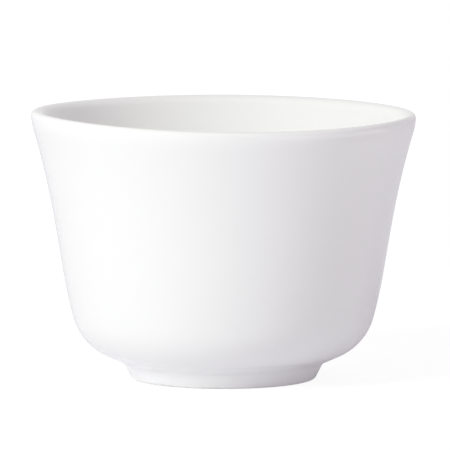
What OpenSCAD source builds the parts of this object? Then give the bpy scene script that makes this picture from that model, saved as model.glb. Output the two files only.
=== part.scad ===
// Handleless porcelain tea cup: a round bowl with a flared wall and a rolled lip, on a low drafted foot ring.
// The clay is one piece, foot ring included. The glaze on it is three coats, outside, inside and under the base:
// the first two meet at the crest of the lip, and the bare edge that the cup stands on parts them from the third.
// Millimetres, +Z up. The origin is the centre of the ring's standing face.

/* [Bowl] */
// Outside diameter at the lip
rim_d = 85.8; // [76:0.2:100]
// Height from the standing face to the crest of the lip
cup_h = 59.6; // [48:0.2:76]
// Diameter of the corner between wall and underside, before it is rounded
hip_d = 63.8; // [58:0.1:70]
// Height of that corner above the standing face
hip_h = 7.8; // [6.4:0.1:10]
// Outside radius that rounds that corner into the hip
hip_r = 12.6; // [8:0.1:16]

/* [Wall and lip curves] */
// Lean of the wall from upright where the lip's roll begins, in degrees
lip_lean = 16.5; // [8:0.1:24]
// Lean of the wall from upright just above the hip, in degrees
hip_lean = 15.8; // [8:0.1:22]
// How far the lip's lean carries down the wall, as a share of the wall's length
lip_pull = 0.46; // [0.2:0.01:0.6]
// How far the hip's lean carries up the wall, as a share of the wall's length
hip_pull = 0.28; // [0.1:0.01:0.4]
// Radius that rolls the wall upright under the lip's outer edge
roll_r = 10; // [4:0.5:16]
// Radius of the lip's outer edge, up to the crest
lip_r = 1; // [0.6:0.1:1.6]

/* [Thickness, glaze included] */
// Wall where the lip's roll begins
lip_t = 3.4; // [2.4:0.1:4.5]
// Wall just above the hip
wall_t = 3.4; // [2.4:0.1:4.6]
// Floor between the well and the recess under it
floor_t = 4.4; // [3:0.1:6]
// Inside radius where the wall runs out into the floor of the well
well_r = 13; // [8:0.5:18]

/* [Foot ring] */
// Diameter of the crease where the ring meets the underside
foot_d = 44.8; // [38:0.1:50]
// Height of the crease above the standing face
foot_h = 3.6; // [2.6:0.1:5]
// Draft of the ring's outer side from upright, in degrees
foot_draft = 27.3; // [5:0.1:35]
// Radius of the crease
crease_r = 1.8; // [0.5:0.1:2.5]
// Width of the ring at the standing face, before its edges are rounded
ring_w = 3.4; // [2.6:0.1:5]
// Radius of the ring's two lower edges
edge_r = 0.8; // [0.5:0.1:1.1]
// Depth of the recess inside the ring
recess_h = 2.9; // [2.4:0.1:4]
// Draft of the ring's inner side from upright, in degrees
recess_draft = 20; // [5:1:35]
// Radius between the ring's inner side and the ceiling of the recess
recess_r = 1.5; // [0.8:0.1:2]

/* [Glaze] */
// Thickness of the glaze on walls and floor
glaze_t = 0.3; // [0.15:0.05:0.5]
// Thickness of the glaze at the crest of the lip, where it runs thin
lip_glaze_t = 0.18; // [0.1:0.02:0.3]
// Extra thickness of the glaze that pools in the crease above the foot
pool_t = 0.25; // [0:0.05:0.5]
// Height on both sides of the ring that is wiped bare above its rounded edges
bare_h = 0.15; // [0.1:0.05:0.6]

/* [Hidden] */
$fn = 180;

// Steps in a rounded corner, in half of the lip and in a wall curve
corner_steps = 14;
lip_steps = 12;
wall_steps = 26;

// Curves in the half plane of radius and height

function unit(v) = v / norm(v);
function backwards(path) = [for (i = [len(path) - 1:-1:0]) path[i]];
function stretch(path, from, to) = [for (i = [from:to]) path[i]];

// Direction up a wall that leans out from upright
function up_lean(lean) = [sin(lean), cos(lean)];

// Points of an arc between two angles
function arc(centre, radius, from, to, steps) =
    [for (i = [0:steps]) let (a = from + (to - from) * i / steps) centre + radius * [cos(a), sin(a)]];

// Arc that rounds a corner, from the side towards before to the side towards after
function fillet(before, corner, after, radius, steps) =
    let (
        u = unit(before - corner),
        v = unit(after - corner),
        half = acos(u * v) / 2,
        centre = corner + unit(u + v) * radius / sin(half),
        spoke = corner + u * radius / tan(half) - centre,
        from = atan2(spoke.y, spoke.x),
        turn = (180 - 2 * half) * sign(cross(corner - before, after - corner))
    )
    arc(centre, radius, from, from + turn, steps);

// Inner points of a cubic curve that runs up a wall: it leaves low and meets high at the leans of hip and lip
function wall_curve(low, high) =
    let (
        run = norm(high - low),
        low_handle = low + up_lean(hip_lean) * hip_pull * run,
        high_handle = high - up_lean(lip_lean) * lip_pull * run
    )
    [for (i = [1:wall_steps - 1]) let (t = i / wall_steps, s = 1 - t)
        s * s * s * low + 3 * s * s * t * low_handle + 3 * s * t * t * high_handle + t * t * t * high];

// Corners of the outline before rounding

lip_centre = [rim_d / 2 - lip_r, cup_h - lip_r];
hip_corner = [hip_d / 2, hip_h];
crease_corner = [foot_d / 2, foot_h];
outer_edge = [crease_corner.x - foot_h * tan(foot_draft), 0];
inner_edge = [outer_edge.x - ring_w, 0];
recess_corner = [inner_edge.x - recess_h * tan(recess_draft), recess_h];
recess_centre = [0, recess_h];
well_centre = [0, recess_h + floor_t];

// The inner wall runs parallel to the outer one above the hip and meets the floor at the well's corner
inner_hip = hip_corner - wall_t * [cos(hip_lean), -sin(hip_lean)];
well_corner = [inner_hip.x - (inner_hip.y - well_centre.y) * tan(hip_lean), well_centre.y];

// From the crest a wider round eases the lip into the inner wall and leaves the wall there as thick as lip_t
ease_r = (lip_t - roll_r * (1 - cos(lip_lean)) - lip_r * (cos(lip_lean) + sin(lip_lean))) / (1 - sin(lip_lean));
ease_centre = lip_centre - [0, ease_r - lip_r];
roll_centre = lip_centre - [roll_r - lip_r, 0];

// Rounded stretches of the outline, in order from the recess round to the well

recess_arc = fillet(recess_centre, recess_corner, inner_edge, recess_r, corner_steps);
inner_edge_arc = fillet(recess_corner, inner_edge, outer_edge, edge_r, corner_steps);
outer_edge_arc = fillet(inner_edge, outer_edge, crease_corner, edge_r, corner_steps);
crease_arc = fillet(outer_edge, crease_corner, hip_corner, crease_r, corner_steps);
hip_arc = fillet(crease_corner, hip_corner, hip_corner + up_lean(hip_lean), hip_r, corner_steps);
roll_arc = arc(roll_centre, roll_r, -lip_lean, 0, lip_steps);
outer_lip_arc = arc(lip_centre, lip_r, 0, 90, lip_steps);
inner_lip_arc = arc(ease_centre, ease_r, 90, 180 - lip_lean, lip_steps);
well_arc = fillet(well_corner + up_lean(hip_lean), well_corner, well_centre, well_r, corner_steps);
outer_wall = wall_curve(hip_arc[corner_steps], roll_arc[0]);
inner_wall = backwards(wall_curve(well_arc[0], inner_lip_arc[lip_steps]));

// Where the glaze stops on the two sides of the ring
outer_glaze_line = outer_edge_arc[corner_steps] + bare_h * [tan(foot_draft), 1];
inner_glaze_line = inner_edge_arc[0] + bare_h * [-tan(recess_draft), 1];

// The finished outline, each point with the thickness of the glaze there

function coated(path, thickness) = [for (p = path) [p.x, p.y, thickness]];

// Glaze that swells to its thickest in the middle of the path
function pooled(path) = let (last = len(path) - 1)
    [for (i = [0:last]) [path[i].x, path[i].y, glaze_t + pool_t * sin(180 * i / last)]];

// Glaze that thins from full at one end of the path to the lip's crest at the other
function thinned(path, full, crest) =
    [for (i = [0:len(path) - 1]) let (share = (i - crest) / (full - crest))
        [path[i].x, path[i].y, lip_glaze_t + (glaze_t - lip_glaze_t) * share * share]];

base_run = concat(coated([recess_centre], glaze_t), coated(recess_arc, glaze_t), coated([inner_glaze_line], 0));
bare_run = coated(concat(inner_edge_arc, outer_edge_arc), 0);
outer_run = concat(
    coated([outer_glaze_line], 0),
    pooled(crease_arc),
    coated(concat(hip_arc, outer_wall, roll_arc), glaze_t),
    stretch(thinned(outer_lip_arc, 0, lip_steps), 1, lip_steps)
);
inner_run = concat(
    stretch(thinned(inner_lip_arc, lip_steps, 0), 1, lip_steps),
    coated(concat(inner_wall, well_arc, [well_centre]), glaze_t)
);
outline = concat(base_run, bare_run, outer_run, inner_run);

// Places along the outline where one coat ends and the next begins
base_end = len(base_run) - 1;
outer_start = len(base_run) + len(bare_run);
crest = outer_start + len(outer_run) - 1;
well_end = len(outline) - 1;

// Direction from the body into the air at a point of a path that starts and ends on the axis
function outward(path, i) =
    let (
        last = len(path) - 1,
        before = i > 0 ? path[i - 1] : [-path[1].x, path[1].y],
        after = i < last ? path[i + 1] : [-path[last - 1].x, path[last - 1].y],
        along = unit(after - before)
    )
    [along.y, -along.x];

finished = [for (p = outline) [p.x, p.y]];
biscuit = [for (i = [0:well_end]) finished[i] - outline[i][2] * outward(finished, i)];

// Sub-parts

module turned(path) {
    rotate_extrude() polygon(path);
}

// Glaze between the finished outline and the clay under it
module glaze_coat(from, to) {
    turned(concat(stretch(finished, from, to), backwards(stretch(biscuit, from, to))));
}

// Fired clay: wall, floor and foot ring in one piece, bare on the edge that it stands on
module porcelain_body() {
    color("ivory") turned(biscuit);
}

// Coat from the bare edge of the foot up the outside to the crest of the lip
module outer_glaze() {
    color("white") glaze_coat(outer_start, crest);
}

// Coat from the crest of the lip down the inside and over the floor of the well
module inner_glaze() {
    color("white") glaze_coat(crest, well_end);
}

// Coat in the recess under the base, inside the bare ring
module base_glaze() {
    color("white") glaze_coat(0, base_end);
}

porcelain_body();
outer_glaze();
inner_glaze();
base_glaze();
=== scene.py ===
# %% [markdown]
# # A handleless porcelain tea cup
#
# The cup is one piece of fired white clay under a clear, glossy glaze. Nothing on it moves and nothing is
# painted on it, so all of its looks lie in one line, its outline, and in the way that soft studio light
# slides over a smooth white curve. This lesson draws that outline, turns it into the clay and its three
# coats of glaze, and then lights them as in the photograph.
#
# The CAD model is the frame. It says where everything is and how large, and each piece that is made here
# takes the place of one of its solids.

import bpy
import numpy as np
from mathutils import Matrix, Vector


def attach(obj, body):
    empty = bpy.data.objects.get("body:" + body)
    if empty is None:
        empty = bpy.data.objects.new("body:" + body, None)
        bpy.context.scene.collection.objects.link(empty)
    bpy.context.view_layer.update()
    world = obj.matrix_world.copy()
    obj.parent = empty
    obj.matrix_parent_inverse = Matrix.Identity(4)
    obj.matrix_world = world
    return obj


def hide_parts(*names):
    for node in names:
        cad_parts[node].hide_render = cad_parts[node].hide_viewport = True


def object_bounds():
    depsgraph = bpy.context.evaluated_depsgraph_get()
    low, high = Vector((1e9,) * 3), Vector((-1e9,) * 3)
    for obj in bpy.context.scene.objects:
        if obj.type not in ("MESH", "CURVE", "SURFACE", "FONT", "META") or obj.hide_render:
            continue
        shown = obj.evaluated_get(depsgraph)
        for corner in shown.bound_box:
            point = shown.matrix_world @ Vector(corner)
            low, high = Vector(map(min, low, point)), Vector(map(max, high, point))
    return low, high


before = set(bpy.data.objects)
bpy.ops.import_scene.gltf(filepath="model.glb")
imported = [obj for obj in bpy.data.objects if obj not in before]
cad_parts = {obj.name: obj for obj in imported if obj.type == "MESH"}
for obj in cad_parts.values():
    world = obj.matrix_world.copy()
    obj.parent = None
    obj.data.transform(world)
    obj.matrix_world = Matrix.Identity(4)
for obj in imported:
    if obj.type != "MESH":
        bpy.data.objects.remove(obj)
cad_low, cad_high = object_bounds()
MM = 0.001
print("CAD box in mm:", [round((high - low) / MM, 2) for low, high in zip(cad_low, cad_high)])

# %% [markdown]
# ## The camera
#
# The mouth of a cup is a circle, and from the side it shows as a thin ellipse. How thin says how high the
# camera stood: here the ellipse is about a tenth as high as it is wide, so the rim is seen from five and
# a half degrees above, and the middle of the cup, which lies lower, from 6.4. The front and back of the
# rim are nearly the same width, so the lens was a long one from far away. A camera that looks at a point
# a little above the cup's middle frames it as the photograph does, with no shift.

# %% Camera
CAMERA_ELEVATION = np.radians(6.43)
CAMERA_DISTANCE = 1.788
CAMERA_LENS = 640
camera_pivot = Vector((0, 0, 29 * MM))
camera_aim = Vector((0.34 * MM, 0, 34.3 * MM))

camera_back = Vector((0, -np.cos(CAMERA_ELEVATION), np.sin(CAMERA_ELEVATION)))
camera = bpy.data.objects.new("camera", bpy.data.cameras.new("camera"))
camera.data.lens = CAMERA_LENS
camera.location = camera_pivot + CAMERA_DISTANCE * camera_back
camera.rotation_euler = (camera_aim - camera.location).to_track_quat("-Z", "Y").to_euler()
bpy.context.collection.objects.link(camera)
bpy.context.scene.camera = camera
print("Camera at", [round(x, 3) for x in camera.location])

# %% [markdown]
# ## Arcs, corners and curves
#
# A potter's template for this cup would be a flat piece of wood with one curved edge. Here the edge is
# made of straight lines, round corners and two long curves, in a half plane whose first coordinate is the
# distance from the cup's axis and whose second is the height, both in millimetres. A curve drawn by hand
# would look much the same, but numbers keep the outline on the CAD model. Each helper gives its stretch
# as an array of points, spaced finely enough that no facet shows in a reflection.

# %% Stretches of an outline
POINT_STEP, ARC_STEP = 0.4, np.radians(3)


def unit(vector):
    """A vector of length 1 in the same direction."""
    return vector / np.linalg.norm(vector)


def up_lean(lean):
    """The direction up a wall that leans out from upright by an angle."""
    return np.array([np.sin(lean), np.cos(lean)])


def line(start, end):
    """Points from start to end, both included: start + t (end - start)."""
    count = max(2, int(np.linalg.norm(end - start) / POINT_STEP) + 1)
    t = np.linspace(0, 1, count)[:, None]
    return start + t * (end - start)


def arc(centre, radius, start, end):
    """Points of a circle between two angles: centre + radius (cos a, sin a), close in length and in angle."""
    turn = abs(end - start)
    count = max(int(radius * turn / POINT_STEP), int(turn / ARC_STEP)) + 2
    angle = np.linspace(start, end, count)
    return centre + radius * np.column_stack([np.cos(angle), np.sin(angle)])


def rounded(before, corner, after, radius):
    """The arc that rounds a corner: its circle touches both sides, so its centre is on their bisector."""
    u = unit(before - corner)
    v = unit(after - corner)
    half = np.arccos(u @ v) / 2
    centre = corner + unit(u + v) * radius / np.sin(half)
    spoke = corner + u * radius / np.tan(half) - centre
    start = np.arctan2(spoke[1], spoke[0])
    side = np.sign(np.linalg.det([corner - before, after - corner]))
    return arc(centre, radius, start, start + side * (np.pi - 2 * half))


def wall_curve(low, high, low_lean, high_lean, low_pull, high_pull):
    """A cubic curve up a wall: s^3 a + 3 s^2 t b + 3 s t^2 c + t^3 d with s = 1 - t.
    It leaves a at one lean and meets d at the other. Each pull is the share of the chord that its
    lean carries."""
    chord = np.linalg.norm(high - low)
    low_handle = low + up_lean(low_lean) * low_pull * chord
    high_handle = high - up_lean(high_lean) * high_pull * chord
    t = np.linspace(0, 1, int(chord / POINT_STEP))[:, None]
    s = 1 - t
    return s**3 * low + 3 * s**2 * t * low_handle + 3 * s * t**2 * high_handle + t**3 * high


print("Outline points lie", POINT_STEP, "mm apart")

# %% [markdown]
# ## The outline of the finished cup
#
# The wall flares, and rolls upright under a lip that is rounded tightly outside and eased widely inside.
# Low down it turns in a soft hip, runs in to a crease, and stands on a drafted foot ring. The numbers are
# those of the CAD model, and the two that its box gives are read from there. The outline starts on the
# axis under the base and ends on the axis in the well, so the clay is always on its left and the air on
# its right.

# %% Sizes in millimetres, and angles
rim_r = cad_high.x / MM
cup_h = cad_high.z / MM
HIP_R, HIP_H, HIP_ROUND, HIP_LEAN, HIP_PULL = 31.9, 7.8, 12.6, np.radians(15.8), 0.28
LIP_T, LIP_ROUND, LIP_ROLL, LIP_LEAN, LIP_PULL = 3.4, 1.0, 10, np.radians(16.5), 0.46
WALL_T, FLOOR_T, WELL_ROUND = 3.4, 4.4, 13
FOOT_R, FOOT_H, FOOT_DRAFT, CREASE_ROUND = 22.4, 3.6, np.radians(27.3), 1.8
RING_W, EDGE_ROUND = 3.4, 0.8
RECESS_H, RECESS_DRAFT, RECESS_ROUND = 2.9, np.radians(20), 1.5
GLAZE_T, LIP_GLAZE_T, POOL_T, BARE_H = 0.3, 0.18, 0.25, 0.15
print("Rim", round(2 * rim_r, 1), "mm across, crest", round(cup_h, 1), "mm high, wall", WALL_T, "mm thick")

# %% Corners of the outline
lip_centre = np.array([rim_r - LIP_ROUND, cup_h - LIP_ROUND])
roll_centre = lip_centre - [LIP_ROLL - LIP_ROUND, 0]
roll_and_round = LIP_ROLL * (1 - np.cos(LIP_LEAN)) + LIP_ROUND * (np.cos(LIP_LEAN) + np.sin(LIP_LEAN))
ease_r = (LIP_T - roll_and_round) / (1 - np.sin(LIP_LEAN))
ease_centre = lip_centre - [0, ease_r - LIP_ROUND]
hip = np.array([HIP_R, HIP_H])
crease = np.array([FOOT_R, FOOT_H])
outer_edge = np.array([FOOT_R - FOOT_H * np.tan(FOOT_DRAFT), 0])
inner_edge = outer_edge - [RING_W, 0]
recess = np.array([inner_edge[0] - RECESS_H * np.tan(RECESS_DRAFT), RECESS_H])
recess_centre = np.array([0, RECESS_H])
well_centre = np.array([0, RECESS_H + FLOOR_T])
inner_hip = hip - WALL_T * np.array([np.cos(HIP_LEAN), -np.sin(HIP_LEAN)])
well = np.array([inner_hip[0] - (inner_hip[1] - well_centre[1]) * np.tan(HIP_LEAN), well_centre[1]])
print("Standing ring from", round(inner_edge[0], 2), "to", round(outer_edge[0], 2), "mm from the axis")

# %% Rounded stretches
recess_arc = rounded(recess_centre, recess, inner_edge, RECESS_ROUND)
inner_edge_arc = rounded(recess, inner_edge, outer_edge, EDGE_ROUND)
outer_edge_arc = rounded(inner_edge, outer_edge, crease, EDGE_ROUND)
crease_arc = rounded(outer_edge, crease, hip, CREASE_ROUND)
hip_arc = rounded(crease, hip, hip + up_lean(HIP_LEAN), HIP_ROUND)
roll_arc = arc(roll_centre, LIP_ROLL, -LIP_LEAN, 0)
outer_lip_arc = arc(lip_centre, LIP_ROUND, 0, np.pi / 2)
inner_lip_arc = arc(ease_centre, ease_r, np.pi / 2, np.pi - LIP_LEAN)
well_arc = rounded(well + up_lean(HIP_LEAN), well, well_centre, WELL_ROUND)
leans_and_pulls = (HIP_LEAN, LIP_LEAN, HIP_PULL, LIP_PULL)
outer_wall = wall_curve(hip_arc[-1], roll_arc[0], *leans_and_pulls)
inner_wall = wall_curve(well_arc[0], inner_lip_arc[-1], *leans_and_pulls)[::-1]
outer_glaze_line = outer_edge_arc[-1] + BARE_H * np.array([np.tan(FOOT_DRAFT), 1])
inner_glaze_line = inner_edge_arc[0] + BARE_H * np.array([-np.tan(RECESS_DRAFT), 1])
print("The lip is rounded by", LIP_ROUND, "mm outside and by", round(ease_r, 2), "mm inside")

# %% [markdown]
# ## How thick the glaze is
#
# Glaze is glass that was poured on as a thin slip and melted. It is about 0.3 mm thick on the walls, runs
# thin over the lip, pools in the crease above the foot, and stops in a rounded bead just above the edge
# that the cup stands on, which is wiped bare so that the cup doesn't stick to the kiln shelf. So each
# stretch of the outline carries a thickness, and the clay's own outline lies that far behind the finished
# one. A Solidify modifier could make a coat too, but only one that is as thick everywhere.

# %% Stretches with their glaze
BEAD_SWELL, BEAD_RISE = 0.12, 0.4
SAME_POINT = 1e-6


def coated(points, thickness):
    """Rows of distance, height and glaze thickness."""
    return np.column_stack([points, np.broadcast_to(thickness, len(points))])


def beaded(points):
    """Glaze that starts at nothing, rises in a quarter circle to a slightly swollen bead, and levels."""
    t = np.linspace(0, 1, len(points))
    rise = np.sqrt(1 - (1 - np.clip(t / BEAD_RISE, 0, 1)) ** 2)
    return coated(points, GLAZE_T * rise + BEAD_SWELL * np.sin(np.pi * t) ** 2)


def pooled(points):
    """Glaze that is thickest in the middle of a crease: full + pool sin(pi t)."""
    return coated(points, GLAZE_T + POOL_T * np.sin(np.pi * np.linspace(0, 1, len(points))))


def thinned(points):
    """Glaze that thins as the square of the way left to the crest of the lip, which is the last point."""
    return coated(points, LIP_GLAZE_T + (GLAZE_T - LIP_GLAZE_T) * np.linspace(1, 0, len(points)) ** 2)


def joined(*stretches):
    """One path from several, without the point that each shares with the one before."""
    rows = np.vstack(stretches)
    step = np.linalg.norm(np.diff(rows[:, :2], axis=0), axis=1)
    return rows[np.concatenate([[True], step > SAME_POINT])]


print("Glaze from", LIP_GLAZE_T, "mm at the crest to", round(GLAZE_T + POOL_T, 2), "mm in the crease")

# %% Join the runs of the outline
BEAD_POINTS = 14
inner_bead = np.linspace(recess_arc[-1], inner_glaze_line, BEAD_POINTS)
outer_bead = np.linspace(outer_glaze_line, crease_arc[0], BEAD_POINTS)
base_run = joined(
    coated(line(recess_centre, recess_arc[0]), GLAZE_T),
    coated(recess_arc, GLAZE_T),
    beaded(inner_bead[::-1])[::-1],
)
bare_run = joined(
    coated(line(inner_glaze_line, inner_edge_arc[0]), 0),
    coated(inner_edge_arc, 0),
    coated(line(inner_edge_arc[-1], outer_edge_arc[0]), 0),
    coated(outer_edge_arc, 0),
    coated(line(outer_edge_arc[-1], outer_glaze_line), 0),
)
outer_run = joined(
    beaded(outer_bead),
    pooled(crease_arc),
    coated(line(crease_arc[-1], hip_arc[0]), GLAZE_T),
    coated(hip_arc, GLAZE_T),
    coated(outer_wall, GLAZE_T),
    coated(roll_arc, GLAZE_T),
    thinned(outer_lip_arc),
)
inner_run = joined(
    thinned(inner_lip_arc[::-1])[::-1],
    coated(inner_wall, GLAZE_T),
    coated(well_arc, GLAZE_T),
    coated(line(well_arc[-1], well_centre), GLAZE_T),
)
outline = joined(base_run, bare_run, outer_run, inner_run)
base_end = len(base_run) - 1
outer_start = base_end + len(bare_run) - 1
crest = outer_start + len(outer_run) - 1
well_end = len(outline) - 1
print(len(outline), "points: glaze lines at", base_end, "and", outer_start, "and the crest at", crest)

# %% Directions along and away from the outline
path = outline[:, :2]
glaze = outline[:, 2]
mirror = np.array([-1, 1])
padded_path = np.vstack([path[1] * mirror, path, path[-2] * mirror])
along = padded_path[2:] - padded_path[:-2]
along /= np.linalg.norm(along, axis=1)[:, None]
outward = np.column_stack([along[:, 1], -along[:, 0]])
print("The outline is", round(np.linalg.norm(np.diff(path, axis=0), axis=1).sum(), 1), "mm long")

# %% [markdown]
# ## What firing does to a true shape
#
# A cup that is turned in a mould is not quite true once it has been fired. Towards the lip it goes a
# tenth of a millimetre oval, and its rim tilts and waves by up to 0.6 mm, with waves that are taken from
# the photograph. The melted glaze settles in soft swells a centimetre long that one sees only as a slow
# wobble in a reflection, and its wiped edge wanders. All of these are sums of a few sines round the axis
# or through space. Where the photograph doesn't give their phases a seeded generator does, so that each
# run makes the same cup.

# %% Angles and small departures
ANGLES, SEED = 192, 7
OVAL, SWELL, LINE_WANDER = 0.10, 0.012, 0.10
LINE_ORDERS = (3, 5, 8, 13, 21)
# Cosine and sine, in millimetres, of one, two and three waves round the rim
RIM_WAVES = ((-0.34, 0.07), (0.18, 0.12), (0.0, -0.14))
theta = np.linspace(0, 2 * np.pi, ANGLES, endpoint=False)
chance = np.random.default_rng(SEED)


def wander(orders):
    """A smooth line round the cup: the mean of sines of these orders with random phases, from -1 to 1."""
    orders = np.array(orders)
    phases = chance.uniform(0, 2 * np.pi, len(orders))
    return np.sin(orders[:, None] * theta + phases[:, None]).mean(axis=0)


SWELL_WAVES, SWELL_SHORT, SWELL_LONG = 9, 9, 17
swell_turns = chance.normal(size=(SWELL_WAVES, 3))
turn_lengths = np.linalg.norm(swell_turns, axis=1)[:, None]
swell_lengths = chance.uniform(SWELL_SHORT, SWELL_LONG, SWELL_WAVES)
swell_waves = 2 * np.pi * swell_turns / turn_lengths / swell_lengths[:, None]
swell_phases = chance.uniform(0, 2 * np.pi, SWELL_WAVES)
oval_angle = chance.uniform(0, np.pi)
rim_wave = sum(a * np.cos(n * theta) + b * np.sin(n * theta) for n, (a, b) in enumerate(RIM_WAVES, 1))
outer_line_wander = wander(LINE_ORDERS)
inner_line_wander = wander(LINE_ORDERS)


def swell(points):
    """Soft swells of the glaze in space: the mean of sines along seeded directions, from -1 to 1."""
    return np.sin(points @ swell_waves.T + swell_phases).mean(axis=-1)


def fired(points):
    """Points after firing: an oval and the waves of the rim, both growing with the square of the height."""
    share = points[..., 2] / cup_h
    radial = np.stack([np.cos(theta), np.sin(theta), 0 * theta], axis=-1)
    oval = OVAL * np.cos(2 * (theta - oval_angle)) * share**2
    moved = points + radial * oval[..., None]
    moved[..., 2] += rim_wave * share**2
    return moved


print("Oval", OVAL, "mm, rim waves to", round(abs(rim_wave).max(), 2), "mm, glaze swells", SWELL, "mm")

# %% [markdown]
# ## Turning the outline
#
# A turned surface is a function of two parameters: the place along the outline and the angle round the
# axis. A Screw modifier could turn the outline as well, but on a grid each point can then be moved by
# itself. The whole grid is worked out at once. The finished surface gets the swells, and the clay lies
# behind it by the thickness of the glaze. Next to a glaze line the points of both slide along the foot's
# side, so that the line wanders.

# %% Finished and clay surfaces
slide = np.zeros((len(path), ANGLES))
fade = np.linspace(1, 0, BEAD_POINTS)[:, None]
slide[outer_start:outer_start + BEAD_POINTS] = LINE_WANDER * fade * outer_line_wander
slide[base_end - BEAD_POINTS + 1:base_end + 1] = LINE_WANDER * fade[::-1] * inner_line_wander


def turned(rows, behind):
    """Grid of points in millimetres: the outline's rows at every angle, moved back from the surface.
    x = r cos a, y = r sin a, z = h, with r and h slid along the outline next to the glaze lines."""
    flat = path[rows][:, None] + slide[rows][..., None] * along[rows][:, None]
    flat = flat - behind[:, None, None] * outward[rows][:, None]
    radius = flat[..., 0]
    return np.stack([radius * np.cos(theta), radius * np.sin(theta), flat[..., 1]], axis=-1)


def finished_surface(rows):
    """The outside of the glaze, with its swells: they fade where the glaze thins to nothing."""
    true = turned(rows, np.zeros(len(rows)))
    away = np.stack([
        outward[rows][:, :1] * np.cos(theta),
        outward[rows][:, :1] * np.sin(theta),
        np.broadcast_to(outward[rows][:, 1:], (len(rows), ANGLES)),
    ], axis=-1)
    height = SWELL * swell(true) * np.clip(glaze[rows] / GLAZE_T, 0, 1)[:, None]
    return fired(true + away * height[..., None])


def clay_surface(rows):
    """The clay under the glaze, and the bare edge, where the glaze is nothing."""
    return fired(turned(rows, glaze[rows]))


print("Each surface is a grid of up to", len(path), "rows and", ANGLES, "angles")

# %% [markdown]
# ## Meshes that close
#
# Each piece is a loop of such rows, turned once round. A loop that starts and ends on the axis has a pole
# at each end, where a whole row is one point, and any other loop closes on itself. Faces are listed so
# that they look away from the piece, and edges that turn sharply stay sharp while all others shade
# smoothly.

# %% Mesh of a turned loop
SHARP = np.radians(40)


def turned_piece(name, rows, poles, thickness):
    """Mesh object from a grid of points in millimetres, with its glaze thickness stored at each point."""
    count = len(rows)
    corner = np.arange(count * ANGLES).reshape(count, ANGLES)
    if poles:
        corner[0] = corner[0, 0]
        corner[-1] = corner[-1, 0]
    below = corner[:-1] if poles else corner
    above = corner[1:] if poles else np.roll(corner, -1, axis=0)
    quads = np.stack([below, np.roll(below, -1, axis=1), np.roll(above, -1, axis=1), above], axis=-1)
    used, quads = np.unique(quads, return_inverse=True)
    quads = quads.reshape(-1, ANGLES, 4)
    faces = quads.reshape(-1, 4).tolist()
    if poles:
        faces = (
            quads[0][:, [0, 2, 3]].tolist()
            + quads[1:-1].reshape(-1, 4).tolist()
            + quads[-1][:, [0, 1, 2]].tolist()
        )
    points = rows.reshape(-1, 3)[used] * MM
    mesh = bpy.data.meshes.new(name)
    mesh.from_pydata(points, [], faces)
    mesh.attributes.new("glaze_mm", "FLOAT", "POINT")
    at_points = np.repeat(thickness, ANGLES)[used].astype(np.float32)
    mesh.attributes["glaze_mm"].data.foreach_set("value", at_points)
    mesh.shade_smooth()
    mesh.set_sharp_from_angle(angle=SHARP)
    piece = bpy.data.objects.new(name, mesh)
    bpy.context.collection.objects.link(piece)
    print(name, len(points), "points,", len(faces), "faces")
    return piece


print("Edges that turn by more than", round(np.degrees(SHARP)), "degrees stay sharp")

# %% [markdown]
# ## The clay and its coats
#
# Where a coat hides the clay, both may be coarser, as long as they take the same rows: then they touch
# everywhere and cross nowhere. So the hidden rows are every fourth, and the rows that show are all kept.

# %% Rows of each piece
HIDDEN_EVERY = 4


def hidden(first, last):
    """Every fourth row from first to last, both included."""
    return np.unique(np.append(np.arange(first, last, HIDDEN_EVERY), last))


base_under = hidden(0, base_end)
outer_under = hidden(outer_start, crest)
inner_under = hidden(crest, well_end)
bare_rows = np.arange(base_end + 1, outer_start)
print("Hidden rows:", len(base_under), len(outer_under), len(inner_under), "and bare rows:", len(bare_rows))

# %% Clay body
clay_rows = np.concatenate([base_under, bare_rows, outer_under, inner_under[1:]])
body = turned_piece("porcelain_body_piece", clay_surface(clay_rows), True, 0 * clay_rows)

# %% Glaze coats
outer_rows = np.arange(outer_start, crest + 1)
outer_back = outer_under[:0:-1]
outer_coat = turned_piece(
    "outer_glaze_piece",
    np.concatenate([finished_surface(outer_rows), clay_surface(outer_back)]),
    False,
    np.concatenate([glaze[outer_rows], glaze[outer_back]]),
)
inner_rows = np.arange(crest, well_end + 1)
inner_back = inner_under[::-1]
inner_coat = turned_piece(
    "inner_glaze_piece",
    np.concatenate([clay_surface(inner_back), finished_surface(inner_rows)]),
    True,
    np.concatenate([glaze[inner_back], glaze[inner_rows]]),
)
base_rows = np.arange(base_end + 1)
base_back = base_under[-2::-1]
base_coat = turned_piece(
    "base_glaze_piece",
    np.concatenate([finished_surface(base_rows), clay_surface(base_back)]),
    True,
    np.concatenate([glaze[base_rows], glaze[base_back]]),
)

# %% Each piece takes a CAD node's place
STANDS_FOR = {
    body: ("porcelain_body", "biscuit"),
    outer_coat: ("outer_glaze", "outer_glaze"),
    inner_coat: ("inner_glaze", "inner_glaze"),
    base_coat: ("base_glaze", "base_glaze"),
}
for piece, (node, slot) in STANDS_FOR.items():
    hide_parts(node)
    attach(piece, "root")
    print(piece.name, "stands for", node)

# %% [markdown]
# ## Materials
#
# Colours are written as the hex values that a paint program shows, and one function turns them into the
# linear light that the renderer needs. One more adds a node with its settings and its links. Pattern
# sizes are in millimetres.

# %% Colour and node helpers
def colour(code):
    """Linear colour of an sRGB hex value: c / 12.92 near black, and ((c + 0.055) / 1.055) ^ 2.4 above."""
    srgb = np.array([int(code[i:i + 2], 16) for i in (1, 3, 5)]) / 255
    linear = np.where(srgb <= 0.04045, srgb / 12.92, ((srgb + 0.055) / 1.055) ** 2.4)
    return (*linear.tolist(), 1.0)


def per_metre(size_mm):
    """Texture scale at which one feature is about this many millimetres wide."""
    return 1 / (size_mm * MM)


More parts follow.
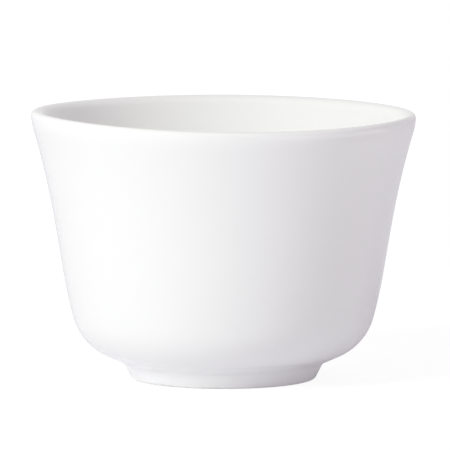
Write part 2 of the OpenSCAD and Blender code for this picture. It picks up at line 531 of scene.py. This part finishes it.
def add(tree, kind, inputs=None, **settings):
    """Adds a node. Settings are its properties, and inputs maps a socket to a constant or to an output."""
    node = tree.nodes.new(kind)
    for name, value in settings.items():
        setattr(node, name, value)
    for name, value in (inputs or {}).items():
        if isinstance(value, bpy.types.NodeSocket):
            tree.links.new(value, node.inputs[name])
        else:
            node.inputs[name].default_value = value
    return node


def new_material(name):
    """An empty node material, its tree and its output node."""
    material = bpy.data.materials.new(name)
    material.use_nodes = True
    material.node_tree.nodes.clear()
    return material, material.node_tree, material.node_tree.nodes.new("ShaderNodeOutputMaterial")


print("The middle grey #808080 is", round(colour("#808080")[0], 3), "in linear light")

# %% [markdown]
# ### Clear glaze over white porcelain
#
# Under the glaze the clay is a clean white. The glaze itself is glass, with an index near 1.5: it gives a
# sharp reflection that is weak face on and strong at a glancing angle. Where it is thick it looks a
# little cooler, and over the lip, where it is thin, the clay shows a little warmer. A coat layer over a
# matt base could give that too, but the clay is plain white, so one shader with the index of the glass is
# enough. Its surface has a faint orange peel, about a millimetre and a half across, and its gloss varies
# slightly from place to place.

# %% Glazed porcelain
GLAZE_IOR, GLAZE_SMOOTH, GLAZE_SOFT = 1.5, 0.06, 0.13
PEEL_SIZE, PEEL_DEPTH = 1.6, 0.0022
GLOSS_PATCH, TONE_PATCH = 9, 26


def glazed_porcelain():
    """Glossy white porcelain, tinted by the glaze thickness that each point stores."""
    material, tree, output = new_material("clear_glazed_porcelain")
    place = add(tree, "ShaderNodeTexCoord").outputs["Object"]
    thickness = add(tree, "ShaderNodeAttribute", attribute_name="glaze_mm").outputs["Fac"]
    thick = add(tree, "ShaderNodeMapRange", {
        "Value": thickness, "From Min": LIP_GLAZE_T, "From Max": GLAZE_T + POOL_T,
    })
    tint = add(tree, "ShaderNodeValToRGB", {"Fac": thick.outputs["Result"]})
    tint.color_ramp.elements[0].color = colour("#F8F7F4")
    tint.color_ramp.elements[1].color = colour("#F5F6F6")
    middle = tint.color_ramp.elements.new((GLAZE_T - LIP_GLAZE_T) / (GLAZE_T + POOL_T - LIP_GLAZE_T))
    middle.color = colour("#F7F7F5")
    patches = add(tree, "ShaderNodeTexNoise", {
        "Vector": place, "Scale": per_metre(TONE_PATCH), "Detail": 2.0,
    })
    tone = add(tree, "ShaderNodeMix", {
        "Factor": patches.outputs["Fac"],
        "A": tint.outputs["Color"],
        "B": colour("#F6F6F4"),
    }, data_type="RGBA")
    gloss = add(tree, "ShaderNodeTexNoise", {
        "Vector": place, "Scale": per_metre(GLOSS_PATCH), "Detail": 3.0,
    })
    roughness = add(tree, "ShaderNodeMapRange", {
        "Value": gloss.outputs["Fac"], "To Min": GLAZE_SMOOTH, "To Max": GLAZE_SOFT,
    })
    peel = add(tree, "ShaderNodeTexNoise", {
        "Vector": place, "Scale": per_metre(PEEL_SIZE), "Detail": 1.0,
    })
    bump = add(tree, "ShaderNodeBump", {"Height": peel.outputs["Fac"], "Distance": PEEL_DEPTH * MM})
    shader = add(tree, "ShaderNodeBsdfPrincipled", {
        "Base Color": tone.outputs["Result"],
        "Roughness": roughness.outputs["Result"],
        "IOR": GLAZE_IOR,
        "Normal": bump.outputs["Normal"],
    })
    tree.links.new(shader.outputs["BSDF"], output.inputs["Surface"])
    return material


glaze_material = glazed_porcelain()
for piece in (outer_coat, inner_coat, base_coat):
    piece.data.materials.append(glaze_material)
print("Made", glaze_material.name)

# %% [markdown]
# ### Bare fired porcelain
#
# The edge that the cup stands on has no glaze. It is vitrified clay, as hard as stone, off-white and
# matt, with a fine grit that the finger feels and a few greyer places where it has been ground flat and
# has rubbed on tables. Neither has a pattern of its own, so noise makes both.

# %% Bare porcelain
CLAY_IOR, CLAY_ROUGHNESS = 1.5, 0.7
# The real grit is finer than a tenth of a millimetre, and is drawn coarser so that it shows
GRIT_SIZE, GRIT_DEPTH = 0.35, 0.02
RUB_PATCH, RUB_STARTS, RUB_FULL = 2.5, 0.5, 0.75


def bare_porcelain():
    """Matt off-white clay with grit, and grey rub marks in patches."""
    material, tree, output = new_material("bare_fired_porcelain")
    place = add(tree, "ShaderNodeTexCoord").outputs["Object"]
    grit = add(tree, "ShaderNodeTexNoise", {
        "Vector": place, "Scale": per_metre(GRIT_SIZE), "Detail": 3.0,
    })
    rubs = add(tree, "ShaderNodeTexNoise", {
        "Vector": place, "Scale": per_metre(RUB_PATCH), "Detail": 4.0,
    })
    rubbed = add(tree, "ShaderNodeMapRange", {
        "Value": rubs.outputs["Fac"], "From Min": RUB_STARTS, "From Max": RUB_FULL,
    })
    tone = add(tree, "ShaderNodeMix", {
        "Factor": rubbed.outputs["Result"],
        "A": colour("#F5F5F3"),
        "B": colour("#EBE9E5"),
    }, data_type="RGBA")
    bump = add(tree, "ShaderNodeBump", {"Height": grit.outputs["Fac"], "Distance": GRIT_DEPTH * MM})
    shader = add(tree, "ShaderNodeBsdfPrincipled", {
        "Base Color": tone.outputs["Result"],
        "Roughness": CLAY_ROUGHNESS,
        "IOR": CLAY_IOR,
        "Normal": bump.outputs["Normal"],
    })
    tree.links.new(shader.outputs["BSDF"], output.inputs["Surface"])
    return material


bare_material = bare_porcelain()
body.data.materials.append(bare_material)
print("Made", bare_material.name)

# %% [markdown]
# ## Floor, backdrop and light
#
# The photograph is white on white. A white sweep fills the background, a tall soft box stands to the left
# in front, a low one behind on the same side, and a pale room fills the shadows. To the camera the world
# is plain white, in reflections it is the room's walls, and for all else it is the dimmer light that they
# give. More light would whiten the background too, but it would wash out the cup. The floor throws light
# back as white paper does. Only where the camera sees it is it lifted to white, with the cup's shadow on
# it.

# %% World
AMBIENT, WALLS, WHITE = colour("#C3BEC4"), colour("#ECECEC"), colour("#FFFFFF")


def studio_world():
    """White to the camera, pale walls in reflections, and the dimmer fill of the room to all else."""
    world = bpy.data.worlds.new("studio")
    world.use_nodes = True
    tree = world.node_tree
    tree.nodes.clear()
    rays = add(tree, "ShaderNodeLightPath").outputs
    room = add(tree, "ShaderNodeMix", {
        "Factor": rays["Is Glossy Ray"],
        "A": AMBIENT,
        "B": WALLS,
    }, data_type="RGBA")
    sky = add(tree, "ShaderNodeMix", {
        "Factor": rays["Is Camera Ray"],
        "A": room.outputs["Result"],
        "B": WHITE,
    }, data_type="RGBA")
    background = add(tree, "ShaderNodeBackground", {"Color": sky.outputs["Result"]})
    add(tree, "ShaderNodeOutputWorld", {"Surface": background.outputs["Background"]})
    return world


bpy.context.scene.world = studio_world()
print("The room fills with", [round(x, 2) for x in AMBIENT[:3]], "and mirrors as", round(WALLS[0], 2))

# %% Floor
FLOOR_HALF, FLOOR_LIFT = 5.0, 0.86
PAPER, PAPER_SHADE = colour("#F5F4F8"), colour("#808080")


def paper_floor():
    """White paper that bounces light and shows in reflections, lifted to white where the camera sees it."""
    material, tree, output = new_material("white_paper_sweep")
    seen = add(tree, "ShaderNodeLightPath").outputs["Is Camera Ray"]
    paper = add(tree, "ShaderNodeBsdfDiffuse", {"Color": PAPER})
    shaded = add(tree, "ShaderNodeBsdfDiffuse", {"Color": PAPER_SHADE})
    lift = add(tree, "ShaderNodeEmission", {"Strength": FLOOR_LIFT})
    lifted = add(tree, "ShaderNodeAddShader", {0: shaded.outputs["BSDF"], 1: lift.outputs["Emission"]})
    both = add(tree, "ShaderNodeMixShader", {
        0: seen, 1: paper.outputs["BSDF"], 2: lifted.outputs["Shader"],
    })
    tree.links.new(both.outputs["Shader"], output.inputs["Surface"])
    return material


floor_mesh = bpy.data.meshes.new("floor")
floor_corners = FLOOR_HALF * np.array([[-1, -1, 0], [1, -1, 0], [1, 1, 0], [-1, 1, 0]])
floor_mesh.from_pydata(floor_corners, [], [(0, 1, 2, 3)])
floor_mesh.materials.append(paper_floor())
floor = bpy.data.objects.new("floor", floor_mesh)
bpy.context.collection.objects.link(floor)
print("Paper floor", 2 * FLOOR_HALF, "m wide")

# %% Soft boxes
BOX_DISTANCE, BOX_WIDTH = 1.5, 0.4
# Degrees right of the camera and above the floor, height in metres, power in watts, and tint
SOFT_BOXES = {
    "key_softbox": (-46, 30, 0.8, 11.8, "#F8FFF8"),
    "back_softbox": (-150, 8, 0.4, 6.2, "#F9FDFB"),
}


def direction(azimuth, elevation):
    """The way from the cup to a place that many degrees right of the camera and above the floor."""
    turn, rise = np.radians([azimuth, elevation])
    return Vector((np.sin(turn) * np.cos(rise), -np.cos(turn) * np.cos(rise), np.sin(rise)))


for name, (azimuth, elevation, tall, power, tint) in SOFT_BOXES.items():
    box = bpy.data.objects.new(name, bpy.data.lights.new(name, "AREA"))
    box.data.shape = "RECTANGLE"
    box.data.size = BOX_WIDTH
    box.data.size_y = tall
    box.data.energy = power
    box.data.color = colour(tint)[:3]
    box.location = camera_pivot + BOX_DISTANCE * direction(azimuth, elevation)
    box.rotation_euler = direction(azimuth, elevation).to_track_quat("Z", "Y").to_euler()
    box.visible_camera = False
    box.visible_glossy = False
    bpy.context.collection.objects.link(box)
    print(name, "at", [round(x, 2) for x in box.location])

# %% [markdown]
# ### What the glaze mirrors under the lip
#
# On the right of the photograph a faint light band runs along the wall just under the lip. The wall leans
# out most there, so it mirrors what lies low on that side, and lower down it mirrors the darker paper
# next to the cup. A flat panel on the paper, some twenty centimetres away and a little brighter than
# white, gives that band.

# %% Panel on the paper
PANEL_AZIMUTH, PANEL_DISTANCE, PANEL_HEIGHT = 66, 0.42, 1 * MM
PANEL_DEPTH, PANEL_WIDTH, PANEL_LEVEL = 0.32, 0.6, 1.05
panel = bpy.data.objects.new("floor_panel", bpy.data.lights.new("floor_panel", "AREA"))
panel.data.shape = "RECTANGLE"
panel.data.size = PANEL_DEPTH
panel.data.size_y = PANEL_WIDTH
# A flat lamp that looks as bright as white has pi watts to the square metre
panel.data.energy = PANEL_LEVEL * np.pi * PANEL_DEPTH * PANEL_WIDTH
panel.location = PANEL_DISTANCE * direction(PANEL_AZIMUTH, 0) + Vector((0, 0, PANEL_HEIGHT))
panel.rotation_euler = (np.pi, 0, np.radians(PANEL_AZIMUTH - 90))
panel.visible_camera = False
bpy.context.collection.objects.link(panel)
print("floor_panel at", [round(x, 2) for x in panel.location])

# %% [markdown]
# ## Colours as written, and light between the walls
#
# The standard view shows each colour about as it is written. Only the waves of the rim reach past the box of
# the CAD model, by 0.6 mm.

# %% View and bounces
bpy.context.scene.view_settings.view_transform = "Standard"
# In a white cup light goes from wall to wall many times before it fades
WALL_TO_WALL = 12
bpy.context.scene.cycles.diffuse_bounces = WALL_TO_WALL
